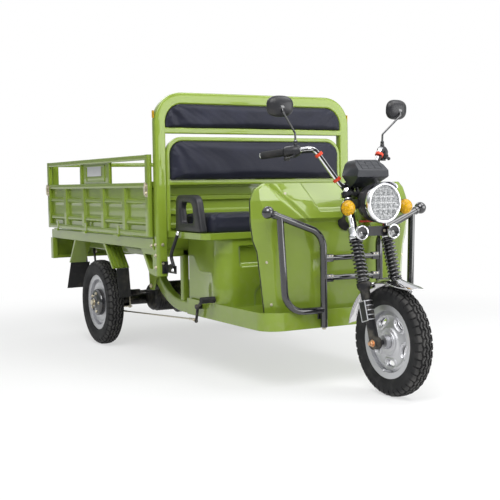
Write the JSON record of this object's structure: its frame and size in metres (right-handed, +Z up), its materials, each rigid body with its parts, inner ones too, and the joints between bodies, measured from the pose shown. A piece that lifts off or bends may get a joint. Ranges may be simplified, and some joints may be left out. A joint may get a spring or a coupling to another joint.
{
  "type": "electric cargo tricycle",
  "caption": "Olive green electric cargo tricycle with a drop-side bed, bench seat under a roll bar, leg-shield fairing, black crash bar and sprung front fork",
  "frame": {"origin": "on the ground under the middle of the vehicle's bounding box", "axes": "+X forward, +Y to the rider's left, +Z up"},
  "size_m": [3.016, 1.22, 1.363],
  "materials": {
    "green_paint": "gloss",
    "black_paint": "gloss",
    "silver_paint": "satin",
    "chrome": "polished",
    "steel": "zinc plated",
    "plastic": "matt",
    "vinyl": "soft satin",
    "rubber": "matt",
    "tyre": "matt",
    "mirror": "polished",
    "lens": "clear",
    "red_lens": "gloss",
    "amber_lens": "gloss"
  },
  "bodies": {
    "chassis": {"main_frame": "green_paint", "floor_pan": "green_paint", "front_fairing": "green_paint", "crash_bar": "black_paint", "seat_box": "green_paint", "battery_pack": "plastic", "seat_pan": "green_paint", "seat_cushion": "vinyl", "armrests": "plastic", "roll_bar": "green_paint", "back_frame": "green_paint", "back_cushion_low": "vinyl", "back_cushion_high": "vinyl", "bed_floor": "green_paint", "headboard": "green_paint", "tail_panel": "green_paint", "tail_lamps": "red_lens", "rear_axle": "black_paint", "drive_motor": "black_paint", "leaf_springs": "black_paint", "spring_shackles": "black_paint", "splash_plates": "green_paint", "mud_flaps": "rubber", "parking_lever": "black_paint", "brake_pedal": "black_paint", "brake_rod": "steel"},
    "steering": {"steering_stem": "black_paint", "top_yoke": "black_paint", "fork_tubes": "chrome", "fork_springs": "black_paint", "fork_legs": "black_paint", "front_fender": "chrome", "front_axle": "steel", "handlebar": "chrome", "grips": "rubber", "switch_pods": "plastic", "mirrors": "plastic", "mirror_glass": "mirror", "cluster": "plastic", "headlight_shell": "plastic", "headlight_ring": "chrome", "headlight_lens": "lens", "lamp_bracket": "black_paint", "spot_lamps": "chrome", "turn_signals": "amber_lens"},
    "front_wheel": {"front_tyre": "tyre", "front_rim": "silver_paint"},
    "rear_wheel_right": {"rear_tyre_right": "tyre", "rear_rim_right": "silver_paint", "rear_hub_right": "black_paint"},
    "rear_wheel_left": {"rear_tyre_left": "tyre", "rear_rim_left": "silver_paint", "rear_hub_left": "black_paint"},
    "board_right": {"side_board_right": "green_paint"},
    "board_left": {"side_board_left": "green_paint"},
    "gate": {"tailgate": "green_paint"}
  },
  "joints": [
    {"name": "steering", "type": "hinge", "parent": "chassis", "child": "steering", "pos_m": [1.0676, 0, 0.76773], "axis": [-0.2924, 0, 0.9563], "range_deg": [-40, 40]},
    {"name": "front_wheel_spin", "type": "hinge", "parent": "steering", "child": "front_wheel", "pos_m": [1.275, 0, 0.233], "axis": [0, 1, 0], "continuous": true},
    {"name": "rear_wheel_right_spin", "type": "hinge", "parent": "chassis", "child": "rear_wheel_right", "pos_m": [-0.758, -0.524, 0.242], "axis": [0, 1, 0], "continuous": true},
    {"name": "rear_wheel_left_spin", "type": "hinge", "parent": "chassis", "child": "rear_wheel_left", "pos_m": [-0.758, 0.524, 0.242], "axis": [0, 1, 0], "continuous": true},
    {"name": "board_right_fold", "type": "hinge", "parent": "chassis", "child": "board_right", "pos_m": [-0.758, -0.603, 0.645], "axis": [1, 0, 0], "range_deg": [0, 180]},
    {"name": "board_left_fold", "type": "hinge", "parent": "chassis", "child": "board_left", "pos_m": [-0.758, 0.603, 0.645], "axis": [-1, 0, 0], "range_deg": [0, 180]},
    {"name": "gate_fold", "type": "hinge", "parent": "chassis", "child": "gate", "pos_m": [-1.501, 0, 0.645], "axis": [0, -1, 0], "range_deg": [0, 180]}
  ]
}
